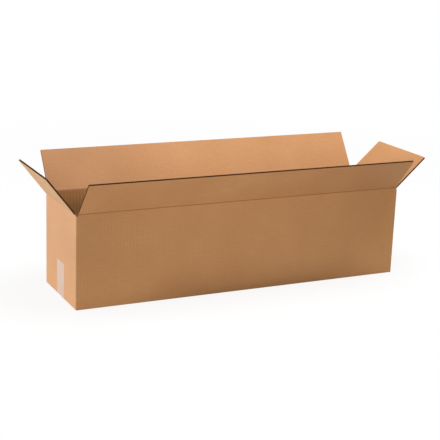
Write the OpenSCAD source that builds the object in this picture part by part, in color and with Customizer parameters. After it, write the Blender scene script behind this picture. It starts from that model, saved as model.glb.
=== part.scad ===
// Long shipping carton of corrugated board, standing open.
// Four walls and a folded bottom are one sheet, glued at a lap inside the back right corner.
// A film tape closes the bottom seam, and four fluted flaps turn on crushed creases at the top.

/* [Inside of the carton] */
// Inside length, along X
inside_l = 813; // [500:1:1200]
// Inside width, along Y
inside_w = 203; // [140:1:400]
// Inside height, between the closed flaps
inside_h = 203; // [140:1:400]

/* [Corrugated board] */
// Thickness of the board
board_t = 4; // [3.4:0.1:5.6]
// Thickness of each flat liner
liner_t = 0.45; // [0.3:0.05:0.7]
// Thickness of the waved sheet between the liners
medium_t = 0.45; // [0.3:0.05:0.6]
// Distance from one flute to the next
flute_pitch = 7.6; // [6.5:0.1:10]
// Width of the crest that is glued to a liner
crest_w = 1.2; // [0.8:0.1:1.6]

/* [Creases] */
// Width of the crushed board beside a crease, on the outer face
crush_out = 6; // [5.8:0.1:10]
// Width of the crushed board beside a crease, on the inner face
crush_in = 3.5; // [3.2:0.1:8]
// Radius of the round bead that a flap turns on
bead_r = 1; // [0.7:0.05:1.2]
// Running clearance between the bead and its seat in the wall
bead_clear = 0.08; // [0.05:0.01:0.1]
// Radius of the vertical corners, on the outer face
corner_r = 3; // [2:0.5:6]
// Radius of the bottom edges, on the outer face
edge_r = 2; // [1:0.25:3]

/* [Flaps] */
// Gap between a flap's side edge and the inner face of the wall next to it
slot_gap = 1; // [0.5:0.1:4]
// Depth of the corner slots below the creases of the short flaps
slot_drop = 1.5; // [1.3:0.1:4]
// Gap between the two long flaps where they meet
meet_gap = 2; // [0.5:0.1:8]
// Play between a long flap and the short flap under it
layer_gap = 0.3; // [0.2:0.05:1]
// Lean of the front flap, outwards from upright
front_lean = 40; // [0:1:120]
// Lean of the back flap, outwards from upright
back_lean = 34; // [0:1:120]
// Lean of the left flap, outwards from upright
left_lean = 38; // [0:1:120]
// Lean of the right flap, outwards from upright
right_lean = 48; // [0:1:120]

/* [Glued lap] */
// Width of the lap, along the back wall
lap_w = 35; // [20:1:60]
// Thickness of the lap, which is pressed thinner than the board
lap_t = 3; // [2:0.1:4]
// Slope of the lap's two ends
lap_slope = 12; // [0:1:30]
// Space between the lap's ends and the folds above and below it
lap_margin = 6; // [3:0.5:15]
// Distance from the back wall's raw end to the outer face of the right wall
joint_gap = 1; // [0.5:0.1:2]
// Radius of the lap's fold, on the outer face
lap_fold_r = 3; // [1:0.25:3.5]

/* [Tape] */
// Width of the tape
tape_w = 48; // [24:1:75]
// Thickness of the tape
tape_t = 0.1; // [0.08:0.01:0.3]
// Height that the tape reaches up each end of the carton
tape_tail = 82; // [40:1:120]

/* [Hidden] */
$fn = 64;
over = 1;
kraft = "#C99A6B";
film = "#E3C6B0";

half_t = board_t / 2;
outer_l = inside_l + 2 * board_t;
outer_w = inside_w + 2 * board_t;
hinge_x = outer_l / 2 - half_t;
hinge_y = outer_w / 2 - half_t;

// The flaps run between the corner slots, and their free edges are one straight cut.
long_flap_l = inside_l - 2 * slot_gap;
short_flap_l = inside_w - 2 * slot_gap;
long_reach = hinge_y - meet_gap / 2;
short_reach = long_reach + board_t + layer_gap;

// Levels, from the floor up
under_z = tape_t;
long_floor_z = under_z + board_t;
short_floor_z = long_floor_z + layer_gap;
floor_z = short_floor_z + board_t;
short_axis_z = floor_z + inside_h + half_t;
long_axis_z = short_axis_z + board_t + layer_gap;
slot_z = short_axis_z - slot_drop;
head_z = short_axis_z - crush_out - over;

// The wave of the medium runs between the liners, and its crests touch them.
void_half = half_t - liner_t;
wave = void_half - medium_t / 2;
function wave_slope(x, pitch) = wave * (2 * PI / pitch) * sin(360 * x / pitch);
function void_bottom(x, pitch) = medium_t / 2 * sqrt(1 + pow(wave_slope(x, pitch), 2))
    - wave * cos(360 * x / pitch);

// Rectangle with round bottom corners, standing on its lower edge
module sled_outline(width, height, r) {
    translate([-width / 2, r]) square([width, height - r]);
    translate([r - width / 2, 0]) square([width - 2 * r, height]);
    for (side = [-1, 1])
        translate([side * (width / 2 - r), r]) circle(r);
}

// Plan of the carton: three folded corners are round. At the back right the back wall ends in
// a raw edge, behind the round fold that carries the glued lap.
module plan_outline() {
    fold_x = outer_l / 2 - corner_r;
    fold_y = outer_w / 2 - corner_r;
    difference() {
        union() {
            square([outer_l, 2 * fold_y], center = true);
            square([2 * fold_x, outer_w], center = true);
            for (corner = [[-1, -1], [1, -1], [-1, 1]])
                translate([corner.x * fold_x, corner.y * fold_y]) circle(corner_r);
            translate([fold_x, fold_y]) square(corner_r);
        }
        translate([outer_l / 2 - joint_gap, inside_w / 2]) square(board_t + over);
        translate([outer_l / 2 - lap_fold_r, inside_w / 2 - lap_fold_r])
            difference() {
                square([lap_fold_r + over, lap_fold_r]);
                circle(lap_fold_r);
            }
    }
}

// A flat shape drawn as (Y, Z) and run along X, about the middle
module along_x(length) {
    rotate([90, 0, 90]) linear_extrude(length, center = true) children();
}

// A flat shape drawn as (X, Z) and run along Y, about the middle
module along_y(length) {
    rotate([90, 0, 0]) linear_extrude(length, center = true) children();
}

// Box between two corners
module span(low, high) {
    translate(low) cube(high - low);
}

// Section of a flap: crushed to a thin edge at the crease, with the bead on it.
// The first axis is outwards and the second is up the flap.
module flap_section(reach) {
    polygon([[0, 0], [half_t, crush_out], [half_t, reach], [-half_t, reach], [-half_t, crush_in]]);
    circle(bead_r);
}

// Section of a wall's upper edge under a crease, with the seat for the bead
module wall_edge_section(depth) {
    difference() {
        polygon([[0, 0], [half_t, -crush_out], [half_t, -depth], [-half_t, -depth], [-half_t, -crush_in]]);
        circle(bead_r + bead_clear);
    }
}

// One open flute, in section. Its wide side lies on the outer liner, or on the inner one if turned.
module flute_void(pitch, turned) {
    wide = (pitch - crest_w) / 2;
    knee = pitch / 8;
    mirror([0, turned ? 1 : 0])
        polygon([
            [-wide, void_half],
            [-knee, void_bottom(knee, pitch)],
            [0, void_bottom(0, pitch)],
            [knee, void_bottom(knee, pitch)],
            [wide, void_half]
        ]);
}

// All flutes of a flap, open at its free edge and cut through at its two side edges
module flutes(length, reach) {
    count = floor(length / flute_pitch);
    pitch = length / count;
    start = crush_out + over;
    translate([-length / 2, 0, start]) {
        for (i = [0 : count])
            translate([i * pitch, 0, 0]) linear_extrude(reach) flute_void(pitch, false);
        for (i = [0 : count - 1])
            translate([(i + 0.5) * pitch, 0, 0]) linear_extrude(reach) flute_void(pitch, true);
    }
}

// A flap that stands on its crease along X and leans towards +Y
module flap(length, reach, lean) {
    color(kraft) rotate([-lean, 0, 0])
        difference() {
            along_x(length) flap_section(reach);
            flutes(length, reach);
        }
}

module front_flap() {
    translate([0, -hinge_y, long_axis_z]) rotate([0, 0, 180])
        flap(long_flap_l, long_reach, front_lean);
}

module back_flap() {
    translate([0, hinge_y, long_axis_z])
        flap(long_flap_l, long_reach, back_lean);
}

module left_flap() {
    translate([-hinge_x, 0, short_axis_z]) rotate([0, 0, 90])
        flap(short_flap_l, short_reach, left_lean);
}

module right_flap() {
    translate([hinge_x, 0, short_axis_z]) rotate([0, 0, -90])
        flap(short_flap_l, short_reach, right_lean);
}

// Outer form of the walls and the bottom, up to the foot of the corner slots
module outer_form() {
    intersection() {
        linear_extrude(slot_z) plan_outline();
        translate([0, 0, under_z]) along_x(outer_l + over) sled_outline(outer_w, slot_z, edge_r);
        translate([0, 0, under_z]) along_y(outer_w + over) sled_outline(outer_l, slot_z, edge_r);
    }
}

// Space inside the walls: the room above the short floor flaps, the well between them,
// and the play round their edges
module inner_space() {
    well_x = hinge_x - short_reach;
    flap_y = short_flap_l / 2;
    span([-inside_l / 2, -inside_w / 2, floor_z], [inside_l / 2, inside_w / 2, slot_z + over]);
    span([-well_x, -inside_w / 2, long_floor_z], [well_x, inside_w / 2, slot_z]);
    span([-inside_l / 2, -inside_w / 2, long_floor_z], [inside_l / 2, inside_w / 2, short_floor_z]);
    for (side = [0, 1]) mirror([0, side, 0])
        span([-inside_l / 2, flap_y, long_floor_z], [inside_l / 2, inside_w / 2, slot_z]);
}

// Cuts in the underside: the seam between the long floor flaps, and the slots at their ends
module floor_cuts() {
    flap_x = long_flap_l / 2;
    span([-inside_l / 2, -meet_gap / 2, 0], [inside_l / 2, meet_gap / 2, short_floor_z]);
    for (side = [0, 1]) mirror([side, 0, 0])
        span([flap_x, -outer_w / 2 - over, 0], [inside_l / 2, outer_w / 2 + over, long_floor_z]);
}

// Room for the crushed wall edges between the corner slots
module head_cuts() {
    span([-long_flap_l / 2, -outer_w, head_z], [long_flap_l / 2, outer_w, slot_z + over]);
    span([-outer_l, -short_flap_l / 2, head_z], [outer_l, short_flap_l / 2, slot_z + over]);
}

module wall_edges() {
    for (turn = [0, 180]) rotate([0, 0, turn])
        translate([0, hinge_y, long_axis_z])
            along_x(long_flap_l) wall_edge_section(long_axis_z - head_z);
    for (turn = [90, -90]) rotate([0, 0, turn])
        translate([0, hinge_x, short_axis_z])
            along_x(short_flap_l) wall_edge_section(short_axis_z - head_z);
}

// Lap of the right wall, glued to the inside of the back wall
module glued_lap() {
    low = floor_z + lap_margin;
    high = head_z - lap_margin;
    rise = lap_w * tan(lap_slope);
    translate([inside_l / 2, (inside_w - lap_t) / 2, 0]) along_y(lap_t)
        polygon([[over, low], [-lap_w, low + rise], [-lap_w, high - rise], [over, high]]);
}

module carton_body() {
    color(kraft) {
        difference() {
            outer_form();
            inner_space();
            floor_cuts();
            head_cuts();
        }
        wall_edges();
        glued_lap();
    }
}

// Strip of film along the bottom seam, turned up both ends
module bottom_tape() {
    color(film) along_y(tape_w)
        difference() {
            sled_outline(outer_l + 2 * tape_t, tape_tail, edge_r + tape_t);
            translate([0, tape_t]) sled_outline(outer_l, tape_tail, edge_r);
        }
}

carton_body();
front_flap();
back_flap();
left_flap();
right_flap();
bottom_tape();
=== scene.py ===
import math

import bpy
import numpy as np
from mathutils import Matrix


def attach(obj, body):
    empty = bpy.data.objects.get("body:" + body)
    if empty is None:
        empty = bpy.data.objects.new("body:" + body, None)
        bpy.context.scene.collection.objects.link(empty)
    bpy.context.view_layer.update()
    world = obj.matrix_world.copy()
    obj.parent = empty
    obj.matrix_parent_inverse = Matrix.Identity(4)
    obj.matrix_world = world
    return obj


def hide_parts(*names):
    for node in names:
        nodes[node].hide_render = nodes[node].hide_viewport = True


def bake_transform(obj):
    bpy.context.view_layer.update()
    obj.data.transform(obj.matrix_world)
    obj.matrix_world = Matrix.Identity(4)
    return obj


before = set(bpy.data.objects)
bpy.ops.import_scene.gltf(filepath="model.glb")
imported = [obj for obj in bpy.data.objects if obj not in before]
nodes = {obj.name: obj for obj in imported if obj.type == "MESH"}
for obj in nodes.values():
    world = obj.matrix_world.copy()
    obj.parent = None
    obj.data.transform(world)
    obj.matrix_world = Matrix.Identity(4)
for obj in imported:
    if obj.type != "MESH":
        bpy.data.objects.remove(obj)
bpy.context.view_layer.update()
print("carton loaded:", ", ".join(sorted(nodes)))

mm = 0.001  # sizes are in millimetres, and become metres where they meet Blender
upward = np.array([0, 0, 1.0])
sharpEdge = math.radians(35)  # edges that turn more than this stay crisp


# sRGB hex to linear: c/12.92 under 0.04045, else ((c + 0.055)/1.055)^2.4
def linear(hexColour):
    c = np.array([int(hexColour[i:i + 2], 16) for i in (1, 3, 5)]) / 255
    c = np.where(c <= 0.04045, c / 12.92, ((c + 0.055) / 1.055) ** 2.4)
    return (*c.tolist(), 1.0)


# adds one node: settings are its properties, inputs are values or other nodes' sockets
def addNode(tree, kind, settings=None, inputs=None, out=0):
    node = tree.nodes.new(kind)
    for key, value in (settings or {}).items():
        setattr(node, key, value)
    for key, value in (inputs or {}).items():
        socket = node.inputs[key]
        if isinstance(value, bpy.types.NodeSocket):
            tree.links.new(value, socket)
        else:
            socket.default_value = value
    return node.outputs[out] if node.outputs else node


# one step of arithmetic on numbers or sockets
def calc(tree, operation, *values):
    return addNode(tree, "ShaderNodeMath", {"operation": operation}, dict(enumerate(values)))


# several numbers or sockets times each other
def product(tree, first, *others):
    for other in others:
        first = calc(tree, "MULTIPLY", first, other)
    return first


# how far a place lies along an axis
def dot(tree, place, axis):
    return addNode(tree, "ShaderNodeVectorMath", {"operation": "DOT_PRODUCT"}, {0: place, 1: tuple(axis)}, 1)


# how far a length lies from one value
def distance(tree, length, value):
    return calc(tree, "ABSOLUTE", calc(tree, "SUBTRACT", length, value))


# turns a value between two limits into one between two others
def remap(tree, value, start, end, low, high, kind="LINEAR"):
    return addNode(tree, "ShaderNodeMapRange", {"interpolation_type": kind},
                   {"Value": value, "From Min": start, "From Max": end, "To Min": low, "To Max": high})


# a share that goes from 0 at one length to 1 at the other
def fade(tree, length, start, end):
    return remap(tree, length, start, end, 0.0, 1.0, "SMOOTHSTEP")


# from one number or colour to the other, by a share
def mix(tree, share, first, second, kind="RGBA", blend="MIX"):
    a, b, out = (2, 3, 0) if kind == "FLOAT" else (6, 7, 2)
    return addNode(tree, "ShaderNodeMix", {"data_type": kind, "blend_type": blend},
                   {0: share, a: first, b: second}, out)


# multiplies a colour by another where the share is 1
def tint(tree, colour, share, other):
    return mix(tree, share, colour, other, blend="MULTIPLY")


# noise whose clumps are about one size, on a place in mm
def noise(tree, place, sizeMm, detail, roughness=0.5):
    return addNode(tree, "ShaderNodeTexNoise", None,
                   {"Vector": place, "Scale": 1 / sizeMm, "Detail": detail, "Roughness": roughness})


# the object's own coordinates in mm, as a place and as x, y and z
def objectPlace(tree):
    position = addNode(tree, "ShaderNodeTexCoord", out=3)
    place = addNode(tree, "ShaderNodeVectorMath", {"operation": "SCALE"}, {0: position, "Scale": 1 / mm})
    parts = tree.nodes.new("ShaderNodeSeparateXYZ")
    tree.links.new(place, parts.inputs[0])
    return place, parts.outputs


# an empty node material
def newMaterial(name):
    material = bpy.data.materials.new(name)
    material.use_nodes = True
    material.node_tree.nodes.clear()
    return material, material.node_tree


# the last part of a board or film material; its height is in mm
def finishSurface(tree, colour, height, roughness, ior):
    normal = addNode(tree, "ShaderNodeBump", None, {"Strength": 1.0, "Distance": mm, "Height": height})
    surface = addNode(tree, "ShaderNodeBsdfPrincipled", None, {
        "Base Color": colour, "Roughness": roughness, "IOR": ior, "Normal": normal})
    addNode(tree, "ShaderNodeOutputMaterial", None, {"Surface": surface})


def addObject(name, data):
    thing = bpy.data.objects.new(name, data)
    bpy.context.scene.collection.objects.link(thing)
    return thing


# the quads of a grid of points whose columns wrap round, and its first and last row
def ringQuads(rows, columns):
    index = np.arange(rows * columns).reshape(rows, columns)
    index = np.concatenate([index, index[:, :1]], 1)
    quads = np.stack([index[:-1, :-1], index[:-1, 1:], index[1:, 1:], index[1:, :-1]], -1)
    return quads.reshape(-1, 4).tolist(), index[0, :-1].tolist(), index[-1, :-1].tolist()


# a piece from such a grid (rows x columns x 3) with a face over each end, so it is a sealed solid
def ringPiece(name, points):
    faces, first, last = ringQuads(*points.shape[:2])
    faces += [first[::-1], last]
    mesh = bpy.data.meshes.new(name)
    mesh.from_pydata(points.reshape(-1, 3).tolist(), [], faces)
    mesh.polygons.foreach_set("use_smooth", np.ones(len(faces), bool))
    mesh.update()
    mesh.set_sharp_from_angle(angle=sharpEdge)
    return addObject(name, mesh)


# smooth noise along one axis: random values each step apart, joined by cosine ramps
def softNoise(at, step, seed):
    rng = np.random.default_rng(seed)
    t = (at - at.min()) / step
    values = rng.uniform(-1, 1, int(t.max()) + 3)
    i = t.astype(int)
    w = (1 - np.cos(np.pi * (t - i))) / 2
    return values[i] * (1 - w) + values[i + 1] * w


# the sheet's own sizes
board = {
    "thickness": 4.0,
    "crushOut": 6.0,    # crushed strip beside a crease, outer face
    "crushIn": 3.5,     # the same on the inner face
    "bead": 1.0,        # radius of the flap's round bead
    "flutePitch": 7.6,
    "fluteFrom": 6.8,   # the open flutes start this far from the crease
    "liner": 0.43,      # flat liner beside each face of a cut, a little under the 0.45 of the solid
    "nearCut": 0.05,    # a face this near to the flap's edge is part of its cut
}

# which face of the carton is which, by where it lies; x and y are taken without their signs
zones = {
    "endWallX": 406.2,      # a face further out is on an end wall
    "insideX": 406.7,       # faces inside the carton lie nearer than these two
    "insideY": 101.7,
    "insideZ": 3.9,         # and above this
    "shortFloorX": 301.7,   # the short floor flaps start here
    "longFloorTop": 4.2,    # and lie between these two heights
    "shortFloorTop": 9.0,
}

# each flap: its crease, the way it opens, the run of its crease and its lean at rest, in degrees;
# side is the colour in the cut of its side edges, painted shade in their flutes; line is how dark
# the fold's line of pressed fibres and painted shade is; shade is where along the crease its painted
# shade starts to change, where that ends, and to which tint, and pale is how much of the pale tone of
# painted light it has
flaps = {
    "front_flap": {"crease": (0, -103.5, 217.7), "out": (0, -1, 0), "run": (1, 0, 0),
                   "length": 811, "reach": 102.5, "lean": 40, "side": "#6E4826", "line": 0.64,
                   "shade": (-60, 400, "#E6E3D4"), "pale": 0.0},
    "back_flap": {"crease": (0, 103.5, 217.7), "out": (0, 1, 0), "run": (-1, 0, 0),
                  "length": 811, "reach": 102.5, "lean": 34, "side": "#6E4826", "line": 0.35,
                  "shade": (0, 400, "#EAE9EA"), "pale": 0.01},
    "left_flap": {"crease": (-408.5, 0, 213.4), "out": (-1, 0, 0), "run": (0, -1, 0),
                  "length": 201, "reach": 106.8, "lean": 38, "side": "#452A15", "line": 0.1,
                  "shade": (-300, -200, "#F3FFFF"), "pale": 0.06},
    "right_flap": {"crease": (408.5, 0, 213.4), "out": (1, 0, 0), "run": (0, 1, 0),
                   "length": 201, "reach": 106.8, "lean": 48, "side": "#8E6238", "line": 0.3,
                   "shade": (40, -90, "#ECEAE8"), "pale": 0.02},
}

kraft = {
    "dark": "#B47C47",
    "liner": "#CA905A",         # unbleached kraft liner
    "light": "#DAA572",         # where the fibres lie flat
    "flute": "#5E3812",         # painted shade inside the open flutes
    "shadedCore": "#33200F",          # painted shade on the waved sheet where a free edge is cut
    "cut": "#865B33",           # raw cut ends of the liners
    "ends": "#EDEBE1",          # painted shade: times the liner's colour towards the two ends of the carton
    "endsAt": -40,              # place along the carton where that is centred
    "endsFrom": 100,            # it starts this far from there
    "endsTo": 420,
    "endsLow": 0.3,             # share of it that is left at the foot
    "endsRise": (20, 120),      # heights between which the rest comes in
    "foot": "#CBC8B6",          # painted shade: times the liner's colour along the foot of the long walls
    "footMm": 45,               # height at which that has faded to a third
    "footAt": 40,               # place along the carton where it is centred
    "footFrom": 120,            # it starts to fade this far from there
    "footTo": 400,
    "inside": "#F4FFFF",        # painted shade inside the carton: times the liner's colour on the inner face, less red
    "deep": "#D3E2DD",          # the same painted shade, darker lower down
    "deepFrom": 207,            # height where it starts to change to that
    "deepTo": 172,
    "floorFade": (9, 40),       # heights between which these tints and the inner stripes come in
    "bleached": "#CBBCAA",      # pale tone of painted light, mixed in a little where a face is less yellow: sheen on lit faces, a paler cast inside
    "endPale": 0.03,            # how much of it is on the end walls
    "insidePale": 0.08,         # and on the inner face of the walls
    "insideStripes": 6.0,       # the washboard shows more on the inner liner, on the walls
    "flapStripes": 1.3,         # and on the flaps
    "fibreMm": 2.2,
    "fibreHeight": 0.015,
    "cloudMm": 130,
    "streakMm": (28, 1.8),      # paper machine streaks, along and across
    "streakSlant": 0.1,         # how much they drift up along a wall
    "stripe": 0.048,            # share of the washboard stripe in the colour
    "stripeHeight": 0.006,
    "stripeCloud": (0.42, 0.6),     # as the clouds go from the first of these to the second
    "stripeShare": (0.85, 1.05),    # the stripe goes from this share of itself to this
    "toneStart": 0.04,          # the tone before the shares of fibres, streaks and clouds
    "fibreTone": 0.42,
    "streakTone": 0.22,
    "cloudTone": 0.28,
    "tones": {"dark": 0.2, "liner": 0.5, "light": 0.8},     # the tone at which each colour lies
    "roughness": 0.62,
    "ior": 1.5,
}


# colour and height of the liner: fibre clumps, paper machine streaks, slow clouds, and a stripe over
# each flute, which is cos(2 pi across / pitch) times the share of it that shows at that place
def linerLook(tree, place, across, stripes=1.0):
    fibre = noise(tree, place, kraft["fibreMm"], 3.0, 0.6)
    cloud = noise(tree, place, kraft["cloudMm"], 2.0)
    long, thin = kraft["streakMm"]
    streakPlace = addNode(tree, "ShaderNodeCombineXYZ", None, {
        "X": calc(tree, "MULTIPLY", across, 1 / long),
        "Y": dot(tree, place, np.array([kraft["streakSlant"], kraft["streakSlant"], 1]) / thin)})
    streak = noise(tree, streakPlace, 1.0, 2.0)
    wave = calc(tree, "COSINE", calc(tree, "MULTIPLY", across, 2 * math.pi / board["flutePitch"]))
    patch = remap(tree, cloud, *kraft["stripeCloud"], *kraft["stripeShare"])
    stripe = product(tree, wave, patch, stripes)
    # one number from 0 (dark) to 1 (light)
    tone = calc(tree, "MULTIPLY_ADD", fibre, kraft["fibreTone"], kraft["toneStart"])
    tone = calc(tree, "MULTIPLY_ADD", streak, kraft["streakTone"], tone)
    tone = calc(tree, "MULTIPLY_ADD", cloud, kraft["cloudTone"], tone)
    tone = calc(tree, "MULTIPLY_ADD", stripe, kraft["stripe"] / 2, tone)
    ramp = tree.nodes.new("ShaderNodeValToRGB")
    ramp.color_ramp.elements.new(0.5)
    for element, (name, at) in zip(ramp.color_ramp.elements, kraft["tones"].items()):
        element.position = at
        element.color = linear(kraft[name])
    tree.links.new(tone, ramp.inputs[0])
    height = calc(tree, "MULTIPLY", fibre, kraft["fibreHeight"])
    height = calc(tree, "MULTIPLY_ADD", stripe, kraft["stripeHeight"], height)
    return ramp.outputs[0], height


# mixes a share of the pale tone of painted light into a colour
def bleach(tree, colour, share):
    return mix(tree, share, colour, linear(kraft["bleached"]))


# painted light along a flap: a share of the pale tone, and painted shade that changes slowly along the
# crease
def flapPaintedLight(tree, colour, along, spec):
    start, end, shade = spec["shade"]
    return tint(tree, bleach(tree, colour, spec["pale"]), fade(tree, along, start, end), linear(shade))


# painted shade: the walls are a little darker towards both ends of the carton, less so at the foot
def wallEndShade(tree, colour, x, z):
    ends = fade(tree, distance(tree, x, kraft["endsAt"]), kraft["endsFrom"], kraft["endsTo"])
    rise = remap(tree, z, *kraft["endsRise"], kraft["endsLow"], 1.0)
    return tint(tree, colour, product(tree, ends, rise), linear(kraft["ends"]))


# painted shade on the inner liner, which turns darker below the rim
def insideShade(tree, z):
    deep = fade(tree, z, kraft["deepFrom"], kraft["deepTo"])
    return mix(tree, deep, linear(kraft["inside"]), linear(kraft["deep"]))


# a number that goes from low to high with a share
def between(tree, share, low, high):
    return calc(tree, "MULTIPLY_ADD", share, high - low, low)


# unbleached kraft liner glued over flutes: matt, warm brown, with a faint line over each flute
def bodyBoard():
    material, tree = newMaterial("kraft_liner_walls")
    place, (x, y, z) = objectPlace(tree)
    sideX, sideY = (calc(tree, "ABSOLUTE", length) for length in (x, y))
    endWall = calc(tree, "GREATER_THAN", sideX, zones["endWallX"])
    low = calc(tree, "LESS_THAN", z, zones["shortFloorTop"])
    shortFloor = product(tree, low, calc(tree, "GREATER_THAN", sideX, zones["shortFloorX"]),
                         calc(tree, "GREATER_THAN", z, zones["longFloorTop"]))
    inside = product(tree, calc(tree, "LESS_THAN", sideX, zones["insideX"]),
                     calc(tree, "LESS_THAN", sideY, zones["insideY"]),
                     calc(tree, "GREATER_THAN", z, zones["insideZ"]))
    innerWall = product(tree, inside, fade(tree, z, *kraft["floorFade"]))

    # the flutes run up the walls, along y on the long floor flaps and along x on the short ones
    across = mix(tree, calc(tree, "MAXIMUM", endWall, shortFloor), x, y, "FLOAT")
    # the streaks are thin in z, so on the floor z is raised by the length along its flutes
    raised = addNode(tree, "ShaderNodeCombineXYZ", None, {
        "Z": product(tree, mix(tree, shortFloor, y, x, "FLOAT"), low)})
    onSheet = addNode(tree, "ShaderNodeVectorMath", {"operation": "ADD"}, {0: place, 1: raised})
    stripes = between(tree, innerWall, 1.0, kraft["insideStripes"])
    colour, height = linerLook(tree, onSheet, across, stripes)

    # painted light: the pale tone of sheen on the end walls and a paler cast on the inner face
    colour = bleach(tree, colour, calc(tree, "MAXIMUM", product(tree, endWall, kraft["endPale"]),
                                       product(tree, inside, kraft["insidePale"])))
    # painted shade on the inner face of the walls
    colour = tint(tree, colour, innerWall, insideShade(tree, z))
    # painted shade along the foot: its share is exp(-z / footMm), and it fades towards both ends of the long
    # walls
    foot = calc(tree, "EXPONENT", calc(tree, "MULTIPLY", z, -1 / kraft["footMm"]))
    middle = fade(tree, distance(tree, x, kraft["footAt"]), kraft["footTo"], kraft["footFrom"])
    outside = calc(tree, "SUBTRACT", 1.0, inside)
    colour = tint(tree, colour, product(tree, foot, middle, outside), linear(kraft["foot"]))
    # painted shade towards both ends of the carton
    colour = wallEndShade(tree, colour, x, z)
    finishSurface(tree, colour, height, kraft["roughness"], kraft["ior"])
    return material


# the same liner on a flap, with the waved sheet in its open flutes, painted shade in those flutes and on the
# cut sheet, and the raw cut ends darker
def flapBoard(name, spec):
    material, tree = newMaterial("kraft_liner_" + name)
    place = objectPlace(tree)[0]
    lean, out = math.radians(spec["lean"]), np.array(spec["out"], float)
    local = addNode(tree, "ShaderNodeVectorMath", {"operation": "SUBTRACT"}, {0: place, 1: spec["crease"]})
    along = dot(tree, local, spec["run"])
    reach = dot(tree, local, math.sin(lean) * out + math.cos(lean) * upward)
    depth = dot(tree, local, math.cos(lean) * out - math.sin(lean) * upward)
    innerFace = calc(tree, "LESS_THAN", depth, 0.0)
    stripes = between(tree, innerFace, 1.0, kraft["flapStripes"])
    colour, height = linerLook(tree, place, along, stripes)
    # painted light: the flap's pale tone and its painted shade along the crease
    colour = flapPaintedLight(tree, colour, along, spec)

    sheet = calc(tree, "LESS_THAN", calc(tree, "ABSOLUTE", depth), board["thickness"] / 2 - board["liner"])
    flute = product(tree, sheet, calc(tree, "GREATER_THAN", reach, board["fluteFrom"]))
    atEnd = calc(tree, "GREATER_THAN", reach, spec["reach"] - board["nearCut"])
    atSide = calc(tree, "GREATER_THAN", calc(tree, "ABSOLUTE", along), spec["length"] / 2 - board["nearCut"])
    atCut = calc(tree, "MAXIMUM", atEnd, atSide)
    # the raw cut ends, then painted shade in the open flutes, on the cut waved sheet and in the side edges'
    # flutes
    for share, paint in ((atCut, kraft["cut"]), (flute, kraft["flute"]),
                         (product(tree, flute, atEnd), kraft["shadedCore"]),
                         (product(tree, flute, atSide), spec["side"])):
        colour = mix(tree, share, colour, linear(paint))
    raw = calc(tree, "MAXIMUM", flute, atCut)
    roughness = remap(tree, raw, 0.0, 1.0, kraft["roughness"], 1.0)
    finishSurface(tree, colour, height, roughness, kraft["ior"])
    return material


# puts one material in a CAD node's slot
def paintNode(name, material):
    slots = nodes[name].data.materials
    slots.clear()
    slots.append(material)


paintNode("carton_body", bodyBoard())
for name, spec in flaps.items():
    paintNode(name, flapBoard(name, spec))
print("kraft board on the walls and four flaps")


crease = {
    "stationMm": 3.0,       # from one section to the next along the crease
    "lift": 0.08,           # how far the liner stands off the crushed board
    "paper": 0.35,          # thickness of the strip
    "dip": 0.35,            # how far the fold's line lies below the corner of the two faces
    "turnMm": 1.2,          # the liner starts to turn this far from the line
    "wave": 0.1,            # how much the pressed strip ripples along its length
    "waveMm": (34, 9),      # lengths of its long and its short ripple
    "waveShare": (0.6, 0.4),
    "farMm": 3.0,           # how far past the crushed strip the skin runs
    "rise": 0.6,            # share of that run, and of the lift, where its edge comes up
    "levelMm": 0.5,         # it is level this far past the crushed strip
    "sunk": 0.02,           # how deep its edge lies under the board's face
    "shortBy": 0.05,        # it ends this far before the flap's side edges
    "overrun": 0.9,         # how far past the bead the inner strip's bend goes on
    "lineMm": 1.1,          # half the width of the dark line of pressed fibres and painted shade
    "wallMm": 1.5,          # length over which the wall's tone gives way to the flap's
    "pressed": "#985A10",   # times the liner's colour in that line: pressed fibres and painted shade in the fold
}


# a curve from a to b that leaves a towards c and comes to b from c: (1-t)^2 a + 2t(1-t) c + t^2 b
def bend(a, c, b, count):
    t = np.linspace(0, 1, count)[:, None]
    return (1 - t) ** 2 * a + 2 * t * (1 - t) * c + t ** 2 * b


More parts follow.
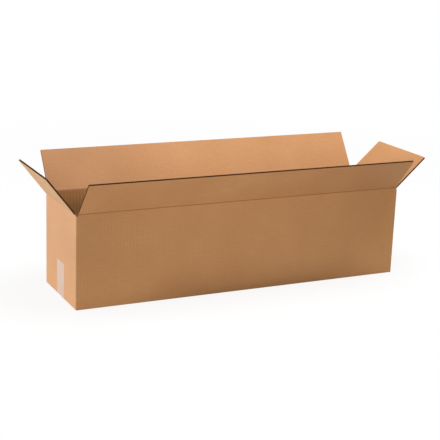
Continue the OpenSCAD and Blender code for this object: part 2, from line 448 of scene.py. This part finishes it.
# A strip of liner over a crease, as a closed pad. Its back lies on the crushed board: down the wall,
# in along the crushed strip, round the bead and out along the flap, turned by the flap's lean.
# Its front runs straight up the wall's face, turns in a small bend close to the corner of the two
# faces, and leaves along the flap's face. Both are carried along the crease, with a soft ripple.
def creaseSkin(flapName, spec, outer):
    halfT, lift = board["thickness"] / 2, crease["lift"]
    crush = board["crushOut"] if outer else board["crushIn"]
    bead = board["bead"] + lift
    sign = 1 if outer else -1
    turn = math.radians(spec["lean"]) * sign  # mirrored, the inner side turns the other way
    c, s = math.cos(turn), math.sin(turn)

    def onFlap(half):  # the wall's half turned over onto the flap
        return (half[::-1] * [1, -1]) @ np.array([[c, -s], [s, c]])

    far = np.array([[halfT - crease["sunk"], -crush - crease["farMm"]],
                    [halfT + lift * crease["rise"], -crush - crease["farMm"] * crease["rise"]],
                    [halfT + lift, -crush - crease["levelMm"]]])
    if outer:
        endAngle = math.atan2(crush, halfT) - math.asin(lift / bead)
    else:
        knee = math.hypot(halfT + lift, crush)
        endAngle = math.atan2(crush, halfT + lift) - math.acos(bead / knee)
    touch = bead * np.array([math.cos(endAngle), -math.sin(endAngle)])
    shoulder = np.array([halfT + lift, -crush])
    t = np.linspace(0, 1, 12)[:, None]
    backHalf = np.vstack([far, (1 - t) * shoulder + t * touch])
    angle = np.linspace(-endAngle, endAngle - turn, 14)[1:-1]
    back = np.vstack([backHalf, bead * np.stack([np.cos(angle), np.sin(angle)], -1), onFlap(backHalf)])
    middle = np.array([math.cos(turn / 2), -math.sin(turn / 2)])
    corner = ((halfT + lift) / math.cos(turn / 2) - crease["dip"]) * middle
    leave = np.array([halfT + lift, corner[1] - crease["turnMm"]])
    before = bend(shoulder, leave, corner, 16)
    # few points on the straight part and many in the turn, as many in all as on the back
    frontHalf = np.vstack([far, before[[0, 2, 4, *range(6, 15)]]])
    front = np.vstack([frontHalf, bend(frontHalf[-1], corner, onFlap(frontHalf)[0], 14)[1:-1],
                       onFlap(frontHalf)])
    step = np.gradient(back, axis=0)
    normal = np.stack([step[:, 1], -step[:, 0]], -1)
    normal /= np.linalg.norm(normal, axis=1, keepdims=True)
    back = back - crease["paper"] * normal

    half = spec["length"] / 2
    along = np.arange(-half, half + crease["stationMm"] / 2, crease["stationMm"])
    along = np.clip(along, crease["shortBy"] - half, half - crease["shortBy"])
    seed = sum(map(ord, flapName)) + outer
    ripple = sum(share * softNoise(along, length, seed + 7 * i)
                 for i, (share, length) in enumerate(zip(crease["waveShare"], crease["waveMm"])))
    pressed = np.sin(np.pi * np.linspace(0, 1, len(front))) ** 4
    moved = front[None] + (crease["wave"] * ripple[:, None] * pressed)[:, :, None] * normal[None]
    ring = np.concatenate([moved, np.repeat(back[None, ::-1], len(along), 0)], 1)
    axis, outward = np.array(spec["crease"], float), np.array(spec["out"], float) * sign
    points = (axis + along[:, None, None] * np.array(spec["run"], float)
              + ring[:, :, :1] * outward + ring[:, :, 1:] * upward) * mm
    skin = ringPiece(flapName.replace("_flap", "_crease_") + ("outer" if outer else "inner"), points)

    # line is exp(-(reach / lineMm)^2), 1 on the fold; wall goes from 1 on the wall's half to 0
    reach = np.r_[0, np.cumsum(np.linalg.norm(np.diff(front, axis=0), axis=1))]
    reach -= reach[len(reach) // 2]
    line = np.exp(-(reach / crease["lineMm"]) ** 2)
    wall = np.clip(0.5 - reach / crease["wallMm"], 0, 1)
    for label, values in (("line", line), ("wall", wall)):
        values = np.tile(np.r_[values, values[::-1]], len(along))
        skin.data.attributes.new(label, "FLOAT", "POINT").data.foreach_set("value", values)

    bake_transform(skin)
    return skin


# the liner over a crease, continuous from the wall to the flap: pressed, with painted shade, to a dark line
# at the fold
def creaseBoard(name, spec, outer):
    material, tree = newMaterial("kraft_liner_" + name + ("_fold_outside" if outer else "_fold_inside"))
    place, (x, y, z) = objectPlace(tree)
    along = dot(tree, place, spec["run"])
    wall, line = (addNode(tree, "ShaderNodeAttribute", {"attribute_name": label}, out=2)
                  for label in ("wall", "line"))
    stripes = 1.0 if outer else between(tree, wall, kraft["flapStripes"], kraft["insideStripes"])
    colour, height = linerLook(tree, place, along, stripes)
    onWall = colour
    # painted light: the pale tone on the inner face and on the end walls
    if not outer:
        onWall = bleach(tree, onWall, kraft["insidePale"])
    elif spec["run"][1]:  # an end wall
        onWall = bleach(tree, onWall, kraft["endPale"])
    # painted shade towards both ends of the carton
    onWall = wallEndShade(tree, onWall, x, z)
    # painted shade on the inner face
    if not outer:
        onWall = tint(tree, onWall, 1.0, insideShade(tree, z))
    # painted light along the flap, and on the wall's half
    colour = mix(tree, wall, flapPaintedLight(tree, colour, along, spec), onWall)
    # the fold's dark line: pressed fibres and painted shade
    colour = tint(tree, colour, product(tree, line, spec["line"]), linear(crease["pressed"]))
    finishSurface(tree, colour, height, kraft["roughness"], kraft["ior"])
    return material


for name, spec in flaps.items():
    for outer in (True, False):
        creaseSkin(name, spec, outer).data.materials.append(creaseBoard(name, spec, outer))
print("creases: eight strips of liner")


tape = {
    "halfWidth": 24.0,
    "tail": 82.0,           # height that it reaches on each end wall
    "wallX": 410.5,         # outer face of the end walls
    "lift": 0.1,            # from the board to the film's outer side
    "film": 0.07,           # the film's thickness
    "bend": 2.1,            # radius round the two bottom edges
    "toothPitch": 2.4,      # teeth of the cutter
    "tooth": 1.1,
    "columns": 161,         # points across the film
    "tailRows": 26,         # sections up each tail, round each bend and along the bottom
    "bendRows": 5,
    "flatRows": 120,
    "clear": "#C09E82",     # film that lies flat on the board
    "haze": "#CCB29D",      # film with air under it
    "hazeMm": 14,
    "hazeHeight": 0.15,
    "seam": "#A97C52",      # under the carton, over the gap between the long floor flaps
    "seamMm": 1.0,
    "roughness": 0.3,
    "ior": 1.49,
}


# The film is a path under the bottom and up both ends, with the cutter's teeth at its two ends:
# the end height is tail + tooth * triangle(y / pitch), and the film is carried across its width.
def bottomTape():
    r, tail = tape["bend"], tape["tailRows"]
    x0 = tape["wallX"] + tape["lift"]
    y = np.linspace(-tape["halfWidth"], tape["halfWidth"], tape["columns"])
    teeth = tape["tooth"] * np.abs((y / tape["toothPitch"]) % 1 * 2 - 1)
    up = np.linspace(1, 0, tail)
    turn = np.linspace(0, math.pi / 2, tape["bendRows"] + 2)[1:-1]
    flat = np.linspace(-x0 + r, x0 - r, tape["flatRows"])
    leftX = np.concatenate([np.full(tail, -x0), -x0 + r - r * np.cos(turn)])
    path = np.concatenate([leftX, flat, -leftX[::-1]])
    points = np.zeros((len(path), len(y), 3))
    points[..., 0] = path[:, None]
    points[..., 1] = y[None]
    rise = np.vstack([r + up[:, None] * (tape["tail"] + teeth[None] - r),
                      np.repeat((r - r * np.sin(turn))[:, None], len(y), 1)])
    points[:len(leftX), :, 2] = rise
    points[-len(leftX):, :, 2] = rise[::-1]
    step = np.gradient(path), np.gradient(points[:, len(y) // 2, 2])
    inward = np.stack([-step[1], np.zeros(len(path)), step[0]], -1)
    inward /= np.linalg.norm(inward, axis=1, keepdims=True)
    inner = points + inward[:, None] * tape["film"]
    film = ringPiece("carton_tape", np.concatenate([points, inner[:, ::-1]], 1) * mm)
    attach(film, "carton")
    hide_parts("bottom_tape")
    return film


# clear polypropylene carton tape: a smooth film, milky where air is trapped over the flutes
def tapeFilm():
    material, tree = newMaterial("polypropylene_tape_film")
    place, (x, y, z) = objectPlace(tree)
    milk = noise(tree, place, tape["hazeMm"], 4.0)
    colour = mix(tree, milk, linear(tape["clear"]), linear(tape["haze"]))
    under = calc(tree, "LESS_THAN", z, tape["seamMm"])
    atSeam = calc(tree, "LESS_THAN", calc(tree, "ABSOLUTE", y), tape["seamMm"])
    colour = mix(tree, product(tree, under, atSeam), colour, linear(tape["seam"]))
    height = calc(tree, "MULTIPLY", milk, tape["hazeHeight"])
    finishSurface(tree, colour, height, tape["roughness"], tape["ior"])
    return material


bottomTape().data.materials.append(tapeFilm())
print("bottom tape")


# places and sizes here are in metres
studio = {
    "rings": (0.001, 1, 2, 3, 4),   # radii of the floor's rows of points
    "ringPoints": 96,
    "rim": (0.9, 2.4),      # radii between which the floor fades out
    "floor": "#CBCBCB",     # as the light sees it
    "seenFloor": "#FFFFFF",
    "glow": 0.87,           # share of plain white in the floor that the camera sees
    "ambient": 0.45,
    "side": {"at": (-3.2, 2.1, 0.42), "size": (1.6, 0.8), "watts": 104, "aim": (-0.3, 0, 0.12)},
    "top": {"at": (0.4, -0.2, 2.1), "size": (1.6, 1.2), "watts": 32.6, "aim": (0, 0, 0.1)},
    "front": {"at": (-1.6, -3.0, 0.7), "size": (1.2, 0.9), "watts": 19.6, "aim": (0, 0, 0.12)},
}
lens = {
    "at": (-1.2058, -2.3954, 0.8788),
    "yaw": 26.42,
    "pitch": 15.37,
    "roll": 2.18,
    "focal": 95.69,
    "sensor": 36,
    "clip": (0.05, 60),
}


# 1 for the rays that show the background: the camera's own, and those in a gloss or through glass
def seenRays(tree):
    path = tree.nodes.new("ShaderNodeLightPath").outputs
    seen = calc(tree, "MAXIMUM", path["Is Camera Ray"], path["Is Glossy Ray"])
    return calc(tree, "MAXIMUM", seen, path["Is Transmission Ray"])


# pale studio floor: a disc whose rim fades into the white background
def studioFloor():
    angle = np.linspace(0, 2 * math.pi, studio["ringPoints"] + 1)[:-1]
    radius = np.array(studio["rings"])
    points = np.zeros((len(radius), len(angle), 3))
    points[..., 0] = radius[:, None] * np.cos(angle)
    points[..., 1] = radius[:, None] * np.sin(angle)
    quads, centre, rim = ringQuads(len(radius), len(angle))
    mesh = bpy.data.meshes.new("studio_floor")
    mesh.from_pydata(points.reshape(-1, 3).tolist(), [], [quad[::-1] for quad in quads] + [centre])
    material, tree = newMaterial("studio_floor_paper")
    position = addNode(tree, "ShaderNodeTexCoord", out=3)
    away = addNode(tree, "ShaderNodeVectorMath", {"operation": "LENGTH"}, {0: position}, 1)
    seen = seenRays(tree)
    tone = mix(tree, seen, linear(studio["floor"]), linear(studio["seenFloor"]))
    paper = addNode(tree, "ShaderNodeBsdfDiffuse", None, {"Color": tone})
    white = addNode(tree, "ShaderNodeEmission", None, {"Color": (1, 1, 1, 1), "Strength": 1.0})
    clear = addNode(tree, "ShaderNodeBsdfTransparent")
    share = product(tree, seen, studio["glow"])
    surface = addNode(tree, "ShaderNodeMixShader", None, {0: share, 1: paper, 2: white})
    surface = addNode(tree, "ShaderNodeMixShader", None,
                      {0: fade(tree, away, *studio["rim"]), 1: surface, 2: clear})
    addNode(tree, "ShaderNodeOutputMaterial", None, {"Surface": surface})
    mesh.materials.append(material)
    addObject("studio_floor", mesh)


# stands a light or camera at a place, by the directions of its own x, y and z
def stand(thing, right, up, back, at):
    axes = np.eye(4)
    axes[:3] = np.stack([right, up, back, at], -1)
    thing.matrix_world = Matrix(axes.tolist())


def softbox(name, spec):
    light = bpy.data.lights.new(name, "AREA")
    light.shape = "RECTANGLE"
    light.size, light.size_y = spec["size"]
    light.energy = spec["watts"]
    lamp = addObject(name, light)
    lamp.visible_camera = False
    at = np.array(spec["at"], float)
    back = at - np.array(spec["aim"], float)
    back /= np.linalg.norm(back)
    right = np.cross([0, 1.0, 0] if abs(back[2]) > 0.95 else upward, back)
    right /= np.linalg.norm(right)
    stand(lamp, right, np.cross(back, right), back, at)


def whiteWorld():
    world = bpy.data.worlds.new("studio_white")
    bpy.context.scene.world = world
    world.use_nodes = True
    tree = world.node_tree
    tree.nodes.clear()
    strength = remap(tree, seenRays(tree), 0.0, 1.0, studio["ambient"], 1.0)
    sky = addNode(tree, "ShaderNodeBackground", None, {"Color": (1, 1, 1, 1), "Strength": strength})
    addNode(tree, "ShaderNodeOutputWorld", None, {"Surface": sky})


# looks along (sin yaw cos pitch, cos yaw cos pitch, -sin pitch), rolled about that line
def photoCamera():
    yaw, pitch, roll = (math.radians(lens[angle]) for angle in ("yaw", "pitch", "roll"))
    ahead = np.array([math.sin(yaw) * math.cos(pitch), math.cos(yaw) * math.cos(pitch), -math.sin(pitch)])
    right = np.array([math.cos(yaw), -math.sin(yaw), 0.0])
    up = np.cross(right, ahead)
    camera = addObject("photo_camera", bpy.data.cameras.new("photo_camera"))
    camera.data.sensor_width = lens["sensor"]
    camera.data.lens = lens["focal"]
    camera.data.clip_start, camera.data.clip_end = lens["clip"]
    stand(camera, math.cos(roll) * right + math.sin(roll) * up,
          math.cos(roll) * up - math.sin(roll) * right, -ahead, lens["at"])
    bpy.context.scene.camera = camera


studioFloor()
for side in ("side", "top", "front"):
    softbox(side + "_softbox", studio[side])
whiteWorld()
photoCamera()
bpy.context.scene.view_settings.view_transform = "Standard"
print("studio and camera")
